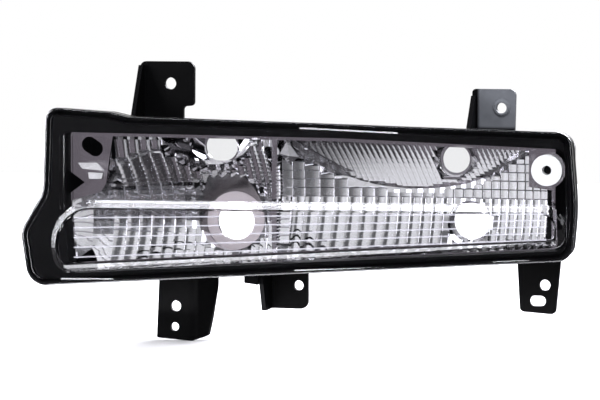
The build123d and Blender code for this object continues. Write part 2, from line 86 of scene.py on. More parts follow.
# %% Material helper
def new_finish(name, **values):
    """Material with one Principled BSDF, its sockets set by name with spaces written as underscores."""
    material = bpy.data.materials.new(name)
    material.use_nodes = True
    shader = material.node_tree.nodes["Principled BSDF"]
    for key, value in values.items():
        shader.inputs[key.replace("_", " ")].default_value = value
    return material, material.node_tree, shader


def dress(node, material):
    """Gives a CAD node one finish."""
    mesh = nodes[node].data
    mesh.materials.clear()
    mesh.materials.append(material)
    print(node, "wears", material.name)


print("nodes that need a finish:", len(nodes))

# %% [markdown]
# ## The moulded grain
# Plastic and rubber mouldings copy the texture of their tool: a fine grain, with patches where the tool is a
# little smoother. A noise texture at two sizes gives both. Several finishes use it, so it is one node group
# with its own inputs; a copy of the nodes in each material would drift apart.

# %% Node group for the grain
GRAIN_INPUTS = {"Grain Scale": 2500.0, "Patch Scale": 60.0, "Roughness": 0.4, "Patch Range": 0.08}
NOISE_LOW, NOISE_HIGH = 0.3, 0.7


def make_grain_group():
    """Group that turns object coordinates into a grain height and a roughness that varies in patches."""
    group = bpy.data.node_groups.new("moulded_grain", "ShaderNodeTree")
    for name, default in GRAIN_INPUTS.items():
        socket = group.interface.new_socket(name, in_out="INPUT", socket_type="NodeSocketFloat")
        socket.default_value = default
    for name in ("Height", "Roughness"):
        group.interface.new_socket(name, in_out="OUTPUT", socket_type="NodeSocketFloat")
    add, link = group.nodes.new, group.links.new
    given, made, place = add("NodeGroupInput"), add("NodeGroupOutput"), add("ShaderNodeTexCoord")
    grain, patches = add("ShaderNodeTexNoise"), add("ShaderNodeTexNoise")
    for noise, scale in ((grain, "Grain Scale"), (patches, "Patch Scale")):
        link(place.outputs["Object"], noise.inputs["Vector"])
        link(given.outputs[scale], noise.inputs["Scale"])
    spread = add("ShaderNodeMapRange")
    spread.inputs["From Min"].default_value, spread.inputs["From Max"].default_value = NOISE_LOW, NOISE_HIGH
    link(patches.outputs["Fac"], spread.inputs["Value"])
    for operation, end in (("SUBTRACT", "To Min"), ("ADD", "To Max")):
        limit = add("ShaderNodeMath")
        limit.operation = operation
        link(given.outputs["Roughness"], limit.inputs[0])
        link(given.outputs["Patch Range"], limit.inputs[1])
        link(limit.outputs[0], spread.inputs[end])
    link(grain.outputs["Fac"], made.inputs["Height"])
    link(spread.outputs["Result"], made.inputs["Roughness"])
    return group


grain_group = make_grain_group()
print("group", grain_group.name, "has", len(grain_group.nodes), "nodes")

# %% [markdown]
# ## Black, white and rubber mouldings
# The housing is satin black plastic, the bush is plain white plastic, the vent cap is dull rubber and the
# seal is black sealant. They differ in colour, roughness and the size of their grain. Four separate cells
# could make them, but one table with a loop shows at a glance how they differ.

# %% Moulded finishes
BUMP_STRENGTH = 0.35
PLASTIC_IOR, PLASTIC_SHINE = 1.5, 0.1
HOUSING_BLACK, BUSH_WHITE = (0.002, 0.002, 0.0022, 1), (0.84, 0.84, 0.82, 1)
RUBBER_BLACK, SEALANT_BLACK = (0.018, 0.018, 0.018, 1), (0.012, 0.012, 0.013, 1)
Moulding = namedtuple("Moulding", "finish colour scale height roughness patch_range")
MOULDINGS = {
    "housing": Moulding("satin_black_plastic", HOUSING_BLACK, 2200.0, 0.00004, 0.40, 0.06),
    "reflector_bush": Moulding("white_plastic", BUSH_WHITE, 2500.0, 0.00002, 0.45, 0.05),
    "vent_cap": Moulding("black_rubber", RUBBER_BLACK, 1400.0, 0.00006, 0.70, 0.08),
    "lens_seal": Moulding("black_sealant", SEALANT_BLACK, 700.0, 0.00008, 0.55, 0.10),
}


def add_grain(tree, shader, scale, height, roughness=None, patch_range=0.0):
    """Places the grain in a material: height through a Bump node, roughness, if given, straight in."""
    grain, bump = tree.nodes.new("ShaderNodeGroup"), tree.nodes.new("ShaderNodeBump")
    grain.node_tree = grain_group
    grain.inputs["Grain Scale"].default_value = scale
    if roughness:
        grain.inputs["Roughness"].default_value = roughness
        grain.inputs["Patch Range"].default_value = patch_range
        tree.links.new(grain.outputs["Roughness"], shader.inputs["Roughness"])
    bump.inputs["Strength"].default_value = BUMP_STRENGTH
    bump.inputs["Distance"].default_value = height
    tree.links.new(grain.outputs["Height"], bump.inputs["Height"])
    tree.links.new(bump.outputs["Normal"], shader.inputs["Normal"])


for node, kind in MOULDINGS.items():
    material, tree, shader = new_finish(kind.finish, Base_Color=kind.colour, IOR=PLASTIC_IOR,
                                        Specular_IOR_Level=PLASTIC_SHINE)
    add_grain(tree, shader, kind.scale, kind.height, kind.roughness, kind.patch_range)
    dress(node, material)

# %% [markdown]
# ## The painted sheen on the upper right tab
# The upper right tab looks greyer than the rest of the housing, where light falls on it, and that sheen is
# painted into the colour here. A second material on the faces of the tab would end in a hard line, so the
# painted sheen is mixed into the housing's own finish. Two soft steps over the object's coordinates pick out
# the tab, and a noise makes the painted sheen uneven.

# %% Painted sheen on the upper right tab
TAB_LEFT, TAB_FOOT, TAB_STEP = 0.1675, -0.022, 0.0015
# painted sheen: a grey laid on the tab in place of the light that falls on it
PAINTED_TAB_SHEEN = (0.125, 0.132, 0.145, 1)
SHEEN_NOISE_SCALE, SHEEN_LEAST, SHEEN_MOST = 90.0, 0.55, 1.25
MIX_BELOW, MIX_ABOVE, MIX_RESULT = 6, 7, 2


def lay_over(tree, below, above, mask):
    """Shows the second of two colours, or colour sockets, where the mask is 1."""
    mix = tree.nodes.new("ShaderNodeMix")
    mix.data_type = "RGBA"
    tree.links.new(mask, mix.inputs["Factor"])
    for colour, socket in ((below, mix.inputs[MIX_BELOW]), (above, mix.inputs[MIX_ABOVE])):
        if isinstance(colour, tuple):
            socket.default_value = colour
        else:
            tree.links.new(colour, socket)
    return mix.outputs[MIX_RESULT]


def both(tree, first, second):
    """Product of two masks, which is 1 where both are."""
    product = tree.nodes.new("ShaderNodeMath")
    product.operation = "MULTIPLY"
    tree.links.new(first, product.inputs[0])
    tree.links.new(second, product.inputs[1])
    return product.outputs[0]


tree = bpy.data.materials["satin_black_plastic"].node_tree
place, split = tree.nodes.new("ShaderNodeTexCoord"), tree.nodes.new("ShaderNodeSeparateXYZ")
uneven, painted_sheen = tree.nodes.new("ShaderNodeTexNoise"), tree.nodes.new("ShaderNodeMapRange")
uneven.inputs["Scale"].default_value = SHEEN_NOISE_SCALE
painted_sheen.inputs["To Min"].default_value, painted_sheen.inputs["To Max"].default_value = SHEEN_LEAST, SHEEN_MOST
tree.links.new(place.outputs["Object"], split.inputs[0])
tree.links.new(place.outputs["Object"], uneven.inputs["Vector"])
tree.links.new(uneven.outputs["Fac"], painted_sheen.inputs["Value"])
mask = painted_sheen.outputs["Result"]
for axis, start in (("X", TAB_LEFT), ("Z", TAB_FOOT)):
    step = tree.nodes.new("ShaderNodeMapRange")
    step.inputs["From Min"].default_value, step.inputs["From Max"].default_value = start, start + TAB_STEP
    tree.links.new(split.outputs[axis], step.inputs["Value"])
    mask = both(tree, mask, step.outputs["Result"])
# the painted sheen replaces the housing black where the mask is 1
tree.links.new(lay_over(tree, HOUSING_BLACK, PAINTED_TAB_SHEEN, mask), tree.nodes["Principled BSDF"].inputs["Base Color"])
print("bloom starts at x", TAB_LEFT, "and z", TAB_FOOT)

# %% [markdown]
# ## The bright reflector
# The reflector is plastic with a thin coat of metal, so it is a mirror. The coat is never quite even: a slow
# ripple bends what it shows a little, and patches of haze soften it. Both come from the grain group, at a
# much larger scale than on the black plastic, because a fine grain would turn the mirror to satin.

# %% Mirror finish
mirror, tree, shader = new_finish("bright_metallised", Base_Color=(0.88, 0.87, 0.89, 1), Metallic=1.0)
add_grain(tree, shader, scale=240.0, height=0.000002, roughness=0.04, patch_range=0.02)
dress("reflector", mirror)

# %% [markdown]
# ## The flutes of the two bowls
# Light from a bulb is spread by flutes moulded into the bowls, and rows cross them. The solid has each flute
# with two flat sides, which is enough to build on. Here every flute gets its round hollow as a thin strip
# laid on the solid: a grid of points across and up the flute, closed at the back, so that each strip is a
# little body of its own. One big displaced sheet would round off the sharp ridges between flutes; strips keep
# them. A strip simply stops where a bulb neck, the scoop or the rim begins. The sizes are those of the solid,
# in millimetres from the middle of the lens, with depth measured back from the lens.

# %% Edges of the flutes
def pitches(start, first, last, end):
    """Flute edges from start to just past end, with a pitch that goes evenly from first to last."""
    values = [start]
    while values[-1] < end:
        share = (values[-1] - start) / (end - start)
        values.append(values[-1] + first + (last - first) * share)
    return values


PANEL_EDGES = [-14.8, -8.8]
TURN_EDGES = pitches(start=-108.6, first=6.5, last=4.2, end=-14.0)
RUNNING_EDGES = [-14.9, -9.2, *pitches(start=-3.3, first=7.6, last=3.9, end=122.0)]
SCOOP_EDGES = pitches(start=-30.0, first=2.8, last=2.8, end=118.0)
END_EDGES = [RUNNING_EDGES[-1], 130.8]
for name, edges in (("left bowl", TURN_EDGES), ("right bowl", RUNNING_EDGES), ("scoop", SCOOP_EDGES)):
    print(name, "has room for", len(edges) - 1, "flutes")

# %% [markdown]
# ## The dishes under the flutes
# Each bowl is a dish: its depth falls away with the square of the distance from its middle, as in any bowl
# that gathers light. The depth could be read back from the solid with a ray cast for every point; the formula
# gives the same surface and is easier to follow. Some flutes lean, so an edge may shift sideways on its way
# up.

# %% Depths and leans of the bowls
SHALLOWEST = 10.3
BOWL_TOP = 34.0
PANEL_FACE = 14.0
TURN_LEAN, LEAN_REACH, LEAN_FOOT, LEAN_HEIGHT, LEAN_POWER = 3.5, 62.0, 2.0, 30.0, 1.5
SCOOP_LEAN = 0.6
Dish = namedtuple("Dish", "deepest x z across up")
TURN_DISH = Dish(deepest=36.0, x=-46.0, z=-13.2, across=264, up=68)
RUNNING_DISH = Dish(deepest=35.0, x=83.2, z=7.6, across=700, up=110)
SCOOP_DISH = Dish(deepest=39.0, x=58.6, z=26.2, across=400, up=50)


def dish_depth(dish, x, z):
    """Depth of a dish at a point."""
    return dish.deepest - (z - dish.z) ** 2 / dish.up - (x - dish.x) ** 2 / dish.across


def dish_slope(dish, z):
    """How far a dish comes forward for each millimetre up."""
    return 2 * (z - dish.z) / dish.up


def turn_depth(x, z):
    """Depth of the left bowl, which ends just behind the plate."""
    return max(dish_depth(TURN_DISH, x, z), SHALLOWEST)


def running_depth(x, z):
    """Depth of the right bowl."""
    return dish_depth(RUNNING_DISH, x, z)


def scoop_depth(x, z):
    """Depth of the scoop."""
    return dish_depth(SCOOP_DISH, x, z)


def panel_depth(x, z):
    """Depth of the smooth panel beside the divider."""
    return PANEL_FACE


def turn_lean(x, z):
    """Shift of a flute edge of the left bowl: the outer ones swing to the left on their way up."""
    outward, up = (TURN_DISH.x - x) / LEAN_REACH, (z - LEAN_FOOT) / LEAN_HEIGHT
    return -TURN_LEAN * max(0.0, outward) * max(0.0, up) ** LEAN_POWER


def scoop_lean(x, z):
    """Shift of a flute edge of the scoop: all lean to the left on their way up."""
    return SCOOP_LEAN * (BOWL_TOP - z)


def upright(x, z):
    """No shift."""
    return 0.0


print("deepest points in mm:", TURN_DISH.deepest, RUNNING_DISH.deepest, SCOOP_DISH.deepest)

# %% [markdown]
# ## The rows across the flutes
# A row is a low pillow along the strip with a sharp edge to the next one. On the real reflector the rows
# break the light up into a grid of spots. A row may rise ahead of the dish at its foot, which leaves a ledge
# and makes its face look less far up or down than the dish does. Cells in the upper part of the right bowl
# also have a groove and a narrow gap round them. A bump in the material could draw such lines, but the edges
# would not catch light.

# %% Rows of the bowls
TURN_ROW, RUNNING_ROW, SCOOP_ROW, PANEL_HEIGHT = 2.3, 4.6, 2.3, 21.0
TURN_TILT, CELL_TILT, PANEL_TILT = 0.10, 0.12, 0.12
SCOOP_TILT, SCOOP_TILT_FADE, SCOOP_FOOT = 0.24, 0.005, 5.0
BAND_TOP = 0.0
Row = namedtuple("Row", "pillow ledge ratio groove inset chamfer", defaults=(0.0, 0.0, 0.0, 0.0, 0.0, 0.12))
TURN_UPPER, TURN_LOWER = Row(pillow=0.005, ratio=0.05, chamfer=0.4), Row(pillow=0.02, ratio=0.06, chamfer=0.3)
RUNNING_CELL = Row(pillow=0.03, ratio=0.03, groove=0.25, inset=0.25)
RUNNING_FLUTE = Row(pillow=0.045, ratio=0.12, chamfer=0.3)
SCOOP_FLUTE = Row(ratio=0.03)


def turn_row(z):
    """Left bowl: rows that stand nearly upright on the curve above, so their ledges grow towards the roof."""
    ledge = TURN_ROW * max(0.0, dish_slope(TURN_DISH, z) - TURN_TILT)
    return (TURN_UPPER if z > BAND_TOP else TURN_LOWER)._replace(ledge=ledge)


def running_row(z):
    """Right bowl: flat grooved cells above the band, that look a little up, and deep flutes behind it."""
    if z < BAND_TOP:
        return RUNNING_FLUTE
    return RUNNING_CELL._replace(ledge=RUNNING_ROW * (dish_slope(RUNNING_DISH, z) + CELL_TILT))


def scoop_row(z):
    """Scoop: rows that look up less than the dish does, the low ones most."""
    tilt = SCOOP_TILT - SCOOP_TILT_FADE * (z - SCOOP_FOOT)
    return SCOOP_FLUTE._replace(ledge=SCOOP_ROW * (dish_slope(SCOOP_DISH, z) + tilt))


def panel_row(z):
    """Smooth panel: one plain face that looks a little up."""
    return Row(ledge=PANEL_HEIGHT * PANEL_TILT)


def flat_row(z):
    """One flat face from flute edge to flute edge."""
    return Row()


for name, row in (("left bowl", turn_row), ("right bowl", running_row), ("scoop", scoop_row)):
    print(name, "has a ledge of", round(row(BOWL_TOP / 2).ledge, 2), "mm half way up to the roof")

# %% [markdown]
# ## Where strips may lie
# The bowls end at the roof and the floor of the window, the scoop ends at its lip, and each bulb neck takes a
# round place out of them. Cutting the strips with a boolean would leave slivers along those lines, so a point
# is simply tested first, and a strip is built only over stretches where all its points are free.

# %% Tests for a free place
CELL_GAP = 0.4
ROOF_LINE = ((-131.0, 33.6), (20.0, 32.4), (138.6, 28.4))
FLOOR_LINE = ((-127.5, -41.8), (139.6, -23.2))
SCOOP_LINE = ((-16.0, 32.5), (-3.4, 21.3), (24.0, 7.6), (56.7, 3.4), (88.0, 8.6), (118.0, 28.2))
TURN_SIDE_LINE = ((1.5, -112.0), (6.0, -109.0), (17.0, -107.5), (32.0, -105.0))
ROOF_MARGIN, FLOOR_MARGIN, LIP_MARGIN = 3.4, 3.2, 1.6
TURN_END, SCOOP_END = -17.5, 119.0
PANEL_TOP, PANEL_END = -3.0, -9.3
Neck = namedtuple("Neck", "x z radius")
TURN_NECKS = (Neck(-47.3, -9.2, 20.9), Neck(-54.0, 36.0, 23.5))
RUNNING_NECKS = (Neck(83.2, -12.4, 11.6),)
SCOOP_NECKS = (Neck(74.6, 20.2, 9.8),)


def along(line, x):
    """Value of a line of points at x, held level past its ends."""
    if x <= line[0][0]:
        return line[0][1]
    for (x0, z0), (x1, z1) in zip(line, line[1:]):
        if x <= x1:
            return z0 + (z1 - z0) * (x - x0) / (x1 - x0)
    return line[-1][1]


def clear_of(necks, x, z):
    """True where a point is outside every neck."""
    return all(math.hypot(x - neck.x, z - neck.z) > neck.radius + CELL_GAP for neck in necks)


def in_turn_bowl(x, z):
    """True where a strip may lie in the left bowl."""
    roof, floor = along(ROOF_LINE, x) - ROOF_MARGIN, along(FLOOR_LINE, x) + FLOOR_MARGIN
    left = along(TURN_SIDE_LINE, z) + CELL_GAP
    return floor < z < roof and left < x < TURN_END and clear_of(TURN_NECKS, x, z)


def in_running_bowl(x, z):
    """True where a strip may lie in the right bowl, below the scoop and off the smooth panel."""
    floor = PANEL_TOP if x < PANEL_END else along(FLOOR_LINE, x) + FLOOR_MARGIN
    roof = along(ROOF_LINE, x) - ROOF_MARGIN if x > SCOOP_END else along(SCOOP_LINE, x) - CELL_GAP
    return floor < z < roof and clear_of(RUNNING_NECKS, x, z)


def in_scoop(x, z):
    """True where a strip may lie in the scoop, inside its lip."""
    low, high = along(SCOOP_LINE, x) + LIP_MARGIN, along(ROOF_LINE, x) - ROOF_MARGIN
    return low < z < high and clear_of(SCOOP_NECKS, x, z)


def on_panel(x, z):
    """True on the one row of the smooth panel."""
    return z < PANEL_TOP + CELL_GAP


print("window is", round(along(ROOF_LINE, 0.0) - along(FLOOR_LINE, 0.0), 1), "mm high in the middle")

# %% [markdown]
# ## Building the strips
# A strip is a stack of levels. Each level is a ring of points: the hollow front from left to right, with a
# small chamfer at both edges, then two points at the back. Rings next to each other are joined with quads,
# and the first and last ring are closed. Edges between rows are marked sharp, so that smooth shading rounds
# the hollow only.

# %% Levels and points of a strip
ACROSS, CHAMFER_SLOPE = 6, 0.5
ROW_MIDDLE = 0.56
ROW_STEPS = (0.0, 0.12, ROW_MIDDLE, 1.0)
LEAST_LEDGE, LEDGE_STEP = 0.05, 0.02
STRIP_LIFT, SCOOP_LIFT, STRIP_SINK, PANEL_SINK = 0.25, 1.1, 0.1, 9.0
PLATE_FRONT = 9.2
Bowl = namedtuple("Bowl", "edges bottom pitch lift depth lean row allowed sink", defaults=(STRIP_SINK,))
Level = namedtuple("Level", "z rise row crease")


def section(row):
    """What sets the section of a strip in a row."""
    return row.ratio, row.inset, row.chamfer


def strip_levels(bowl):
    """Levels up a strip. A row rises ahead of the solid at its foot or, with a ledge below 0, at its top."""
    levels = []
    for number in range(int((BOWL_TOP - bowl.bottom) / bowl.pitch)):
        foot = bowl.bottom + number * bowl.pitch
        row = bowl.row(foot + bowl.pitch / 2)
        for v in ROW_STEPS:
            rise = row.pillow * 4 * v * (1 - v) + max(row.ledge, 0.0) * (1 - v) + max(-row.ledge, 0.0) * v
            groove = row.groove if v == 0 else 0.0
            level = Level(foot + max(v * bowl.pitch, LEDGE_STEP), rise - groove, row, v != ROW_MIDDLE)
            new_section = not levels or section(levels[-1].row) != section(row)
            if v or new_section or abs(levels[-1].rise - level.rise) > LEAST_LEDGE:
                levels.append(level)
    return levels


def runs(values, test):
    """Stretches of neighbouring values that pass a test, each with three values or more."""
    found, run = [], []
    for value in [*values, None]:
        if value is not None and test(value):
            run.append(value)
            continue
        if len(run) > 2:
            found.append(run)
        run = []
    return found


def strip_points(bowl, left, right, level):
    """Ring of points at one level: the hollow front from left to right, then the back from right to left."""
    inset, chamfer = level.row.inset, level.row.chamfer
    left, right = left + bowl.lean(left, level.z) + inset, right + bowl.lean(right, level.z) - inset
    ends = bowl.depth(left, level.z), bowl.depth(right, level.z)
    width = right - left
    hollow = level.row.ratio * width
    rise = level.rise if min(ends) > SHALLOWEST else 0.0
    forward = min(bowl.lift + rise, min(ends) - hollow - PLATE_FRONT)
    front = [(chamfer + i / ACROSS * (width - 2 * chamfer), hollow * (1 - 2 * i / ACROSS) ** 2)
             for i in range(ACROSS + 1)]
    drop = hollow - chamfer * CHAMFER_SLOPE
    points = []
    for offset, ahead in [(0.0, drop), *front, (width, drop)]:
        back = ends[0] + (ends[1] - ends[0]) * offset / width
        points.append((left + offset, back - ahead - forward, level.z))
    return points + [(right, ends[1] + bowl.sink, level.z), (left, ends[0] + bowl.sink, level.z)]


turn_bowl = Bowl(TURN_EDGES, bottom=-42.0, pitch=TURN_ROW, lift=STRIP_LIFT, depth=turn_depth,
                 lean=turn_lean, row=turn_row, allowed=in_turn_bowl)
running_bowl = Bowl(RUNNING_EDGES, bottom=-36.8, pitch=RUNNING_ROW, lift=STRIP_LIFT, depth=running_depth,
                    lean=upright, row=running_row, allowed=in_running_bowl)
scoop = Bowl(SCOOP_EDGES, bottom=4.0, pitch=SCOOP_ROW, lift=SCOOP_LIFT, depth=scoop_depth,
             lean=scoop_lean, row=scoop_row, allowed=in_scoop)
panel = Bowl(PANEL_EDGES, bottom=PANEL_TOP - PANEL_HEIGHT, pitch=PANEL_HEIGHT, lift=0.0, depth=panel_depth,
             lean=upright, row=panel_row, allowed=on_panel, sink=PANEL_SINK)
print("levels:", [len(strip_levels(bowl)) for bowl in (turn_bowl, running_bowl, scoop, panel)])


# %% Meshes of the strips
def add_piece(name, mesh, material):
    """Places a mesh in the scene as a piece of the lamp with one finish, attached to the root of the frame.
    """
    mesh.materials.append(material)
    piece = bpy.data.objects.new(name, mesh)
    bpy.context.scene.collection.objects.link(piece)
    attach(piece, "root")
    print(name, "has", len(mesh.vertices), "points and", len(mesh.polygons), "faces")


def lens_mesh(name, points, faces):
    """Mesh from points in lens millimetres as (x, depth, z)."""
    mesh = bpy.data.meshes.new(name)
    mesh.from_pydata([LENS_MIDDLE + Vector(point) / 1000 for point in points], [], faces)
    return mesh


def bridge(first, second, around):
    """Quads from one ring of points to another, each given by the number of its first point."""
    ring = [(i, (i + 1) % around) for i in range(around)]
    return [(first + a, first + b, second + b, second + a) for a, b in ring]


def make_strips(name, bowl, material):
    """One mesh with a closed strip in every stretch of a flute that is free."""
    points, faces, smooth, creases = [], [], [], set()
    front = ACROSS + 2
    around = front + 3
    for left, right in zip(bowl.edges, bowl.edges[1:]):
        def free(level):
            return all(bowl.allowed(x + bowl.lean(x, level.z), level.z) for x in (left, right))

        for run in runs(strip_levels(bowl), free):
            first = len(points)
            for j, level in enumerate(run):
                low = first + j * around
                points += strip_points(bowl, left, right, level)
                if level.crease:
                    creases |= {(low + i, low + i + 1) for i in range(front)}
                if j:
                    faces += bridge(low - around, low, around)
                    smooth += [0 < i < front - 1 for i in range(around)]
            faces += [tuple(range(first + around - 1, first - 1, -1)), tuple(range(low, low + around))]
            smooth += [False, False]
    mesh = lens_mesh(name, points, faces)
    mesh.polygons.foreach_set("use_smooth", smooth)
    for edge in mesh.edges:
        edge.use_edge_sharp = tuple(sorted(edge.vertices)) in creases
    add_piece(name, mesh, material)


make_strips("turn_bowl_flutes", turn_bowl, mirror)
make_strips("running_bowl_flutes", running_bowl, mirror)
make_strips("scoop_flutes", scoop, mirror)
make_strips("smooth_panel", panel, mirror)

# %% [markdown]
# ## The dark end of the right bowl
# The last few millimetres of the right bowl, below the bush, are dark, like plastic that was left bare. A
# mask in the mirror's material could darken them, but it would have to know where the bowl ends. One flat
# strip in the finish of the housing covers them, and the same function builds it.

# %% Dark end
running_end = running_bowl._replace(edges=END_EDGES, row=flat_row)
make_strips("running_end_shade", running_end, bpy.data.materials["satin_black_plastic"])

# %% [markdown]
# ## The seat of the left bulb
# A pale pinkish ring lies round the left bulb hole, with the look of bare plastic. It is a lathe form, so a
# Screw modifier or a boolean of two cylinders could make it. Four circles joined by quads give the same ring,
# closed and with no modifier left on it.

# %% Bulb seat
SEAT_PLACE, SEAT_SIDES = (-46.0, -15.2), 64
SEAT_INNER, SEAT_OUTER, SEAT_FRONT, SEAT_BACK = 10.3, 16.0, 39.7, 40.1


def make_seat(material):
    """Flat ring with a front, a back and two edges."""
    corners = ((SEAT_INNER, SEAT_FRONT), (SEAT_OUTER, SEAT_FRONT),
               (SEAT_OUTER, SEAT_BACK), (SEAT_INNER, SEAT_BACK))
    points, faces = [], []
    for side in range(SEAT_SIDES):
        turn = math.tau * side / SEAT_SIDES
        points += [(SEAT_PLACE[0] + radius * math.cos(turn), depth, SEAT_PLACE[1] + radius * math.sin(turn))
                   for radius, depth in corners]
        faces += bridge(4 * side, 4 * ((side + 1) % SEAT_SIDES), 4)
    add_piece("turn_bulb_seat", lens_mesh("turn_bulb_seat", points, faces), material)


bare, tree, shader = new_finish("bare_seat", Base_Color=(0.5, 0.45, 0.465, 1), Specular_IOR_Level=0.3)
add_grain(tree, shader, scale=900.0, height=0.00002, roughness=0.45, patch_range=0.08)
make_seat(bare)

# %% [markdown]
# ## The steps over the notch and the point of the divider
# At the left end of the reflector two bevelled steps stand over a notch, and the divider between the bowls
# ends in a point with four facets. A cube or a cone with its corners moved would do, but then the corners
# hide in the code that moves them. Each form has so few points that they are simply written out, and closed
# at the back.

# %% Steps and point
UPPER_STEP = ((-124.7, 16.8), (-114.0, 17.0), (-110.4, 12.9), (-121.8, 13.8))
LOWER_STEP = ((-119.1, 11.7), (-110.6, 11.9), (-111.0, 8.6), (-118.0, 8.4))
STEP_TOP_DEPTH, UPPER_FOOT_DEPTH, LOWER_FOOT_DEPTH = 8.9, 7.2, 7.4
TIP, RIGHT_CORNER = (-10.8, 15.4, 30.0), (-4.6, 15.4, 21.5)
FOOT, LEFT_CORNER = (-9.6, 15.4, 17.5), (-14.9, 15.4, 23.0)
RIDGE, ROOT = (-9.8, 14.2, 22.0), (-9.8, 24.0, 23.0)


def make_step(name, corners, foot_depth):
    """Bevel that looks up: four corners from upper left clockwise, with a flat back in the plate."""
    depths = (STEP_TOP_DEPTH, STEP_TOP_DEPTH, foot_depth, foot_depth)
    points = [(x, depth, z) for (x, z), depth in zip(corners, depths)]
    points += [(x, PLATE_FRONT, z) for x, z in corners]
    faces = [(3, 2, 1, 0), (4, 5, 6, 7), *bridge(0, 4, 4)]
    add_piece(name, lens_mesh(name, points, faces), mirror)


def make_divider_point(name):
    """Four facets from a ridge to the corners round it, and four more to a root in the divider."""
    points = (TIP, RIGHT_CORNER, FOOT, LEFT_CORNER, RIDGE, ROOT)
    faces = [(4, (i + 1) % 4, i) for i in range(4)] + [(5, i, (i + 1) % 4) for i in range(4)]
    add_piece(name, lens_mesh(name, points, faces), mirror)


make_step("notch_step_upper", UPPER_STEP, UPPER_FOOT_DEPTH)
make_step("notch_step_lower", LOWER_STEP, LOWER_FOOT_DEPTH)
make_divider_point("divider_point")

# %% [markdown]
# ## The painted shade in the left neck
# The upper and left walls of the wide neck round the left bulb show as a smooth dark arch over the bulb hole,
# which is shade inside the neck. A lining of darker, rougher metal paints that shade in. The lining follows
# the cone of the neck from its end to where it meets the bowl, a hair in front of the solid. A second finish
# on the faces of the solid would change the solid's own mesh; a thin closed sheet leaves it alone.

# %% Neck lining with painted shade
NECK_END, NECK_END_RADIUS = Vector((-46.0, 40.0, -15.2)), 16.2
NECK_MOUTH, NECK_MOUTH_RADIUS = Vector((-47.3, 28.5, -9.2)), 20.6
LINING_FROM, LINING_TO, LINING_SIDES = math.radians(-8.0), math.radians(205.0), 96
LINING_FRONT, LINING_BACK, LINING_STEP = 0.2, -0.1, 0.01


def neck_point(turn, share, inward=0.0):
    """Point of the neck's cone, from its end at share 0 to its mouth at share 1, moved towards the axis."""
    radius = NECK_END_RADIUS + (NECK_MOUTH_RADIUS - NECK_END_RADIUS) * share - inward
    return NECK_END.lerp(NECK_MOUTH, share) + Vector((radius * math.cos(turn), 0.0, radius * math.sin(turn)))


def neck_edge(turn):
    """Share at which the neck's cone meets the left bowl, or ends."""
    share = LINING_STEP
    while share < 1.0 and neck_point(turn, share).y > turn_depth(*neck_point(turn, share).xz):
        share += LINING_STEP
    return share


def make_lining(name, material):
    """Thin closed sheet on the upper and left walls of the neck, darker metal that paints the shade there."""
    points, faces = [], []
    for side in range(LINING_SIDES + 1):
        turn, first = LINING_FROM + (LINING_TO - LINING_FROM) * side / LINING_SIDES, len(points)
        edge = neck_edge(turn)
        corners = ((0.0, LINING_FRONT), (edge, LINING_FRONT), (edge, LINING_BACK), (0.0, LINING_BACK))
        points += [neck_point(turn, share, inward) for share, inward in corners]
        if side:
            faces += bridge(first - 4, first, 4)
    faces += [(3, 2, 1, 0), tuple(range(first, first + 4))]
    add_piece(name, lens_mesh(name, points, faces), material)


# darker metal as painted shade in the neck, in place of the shade that falls there
neck_shade_metal, tree, shader = new_finish("painted_neck_shade_metal", Base_Color=(0.36, 0.355, 0.36, 1), Metallic=1.0)
add_grain(tree, shader, scale=900.0, height=0.00001, roughness=0.22, patch_range=0.04)
make_lining("turn_neck_painted_shade", neck_shade_metal)

# %% [markdown]
# ## The screws
# Three screws hold the reflector from behind. They are steel with a thin plating of zinc, which is a metal
# with a dull, slightly patchy sheen. A plain grey would look like plastic, so the shader is set to metal and
# the grain group roughens it.

# %% Screw finish
zinc, tree, shader = new_finish("zinc_plate", Base_Color=(0.6, 0.6, 0.61, 1), Metallic=1.0)
add_grain(tree, shader, scale=3000.0, height=0.00002, roughness=0.35, patch_range=0.08)
dress("reflector_screws", zinc)

# %% [markdown]
# ## The clear lens
# The lens is clear polished plastic. A see-through surface with a little gloss could stand in for it, but the
# lens has walls of its own thickness, so real transmission lets the raised band and its ribs bend what lies
# behind them. A very slow ripple, as the tool leaves it, keeps the face from being too perfect. Light from a
# lamp would take very long to find its way through such a lens, so shadow rays pass straight through it.

# %% Lens finish
CLEAR_IOR = 1.5
clear, tree, shader = new_finish("clear_plastic", Base_Color=(0.98, 0.985, 1.0, 1), Roughness=0.0,
                                 IOR=CLEAR_IOR, Transmission_Weight=1.0, Coat_Weight=1.0,
                                 Coat_IOR=CLEAR_IOR, Coat_Roughness=0.0)
add_grain(tree, shader, scale=120.0, height=0.00001)
path, through = tree.nodes.new("ShaderNodeLightPath"), tree.nodes.new("ShaderNodeBsdfTransparent")
either = tree.nodes.new("ShaderNodeMixShader")
tree.links.new(path.outputs["Is Shadow Ray"], either.inputs["Fac"])
tree.links.new(shader.outputs["BSDF"], either.inputs[1])
tree.links.new(through.outputs["BSDF"], either.inputs[2])
tree.links.new(either.outputs[0], tree.nodes["Material Output"].inputs["Surface"])
dress("lens", clear)

# %% [markdown]
# ## The ribs of the band
# The five ribs of the solid are square and as clear as the lens, so they would hardly show. On the real lens
# their crowns are rounded and a little rough, and catch the light as five fine lines. A bevel on the solid
# would change its mesh, so each rib gets a half-round crown of its own, in a frosted finish that lets most of
# the light through.

# %% Rib crowns
RIB_COUNT, RIB_FACE, RIB_SINK = 5, -7.0, 0.05
RIB_ENDS = ((-122.0, -11.4, -32.4), (131.0, -3.9, -17.0))
CROWN_HALF, CROWN_HEIGHT, CROWN_SIDES = 0.4, 0.3, 6


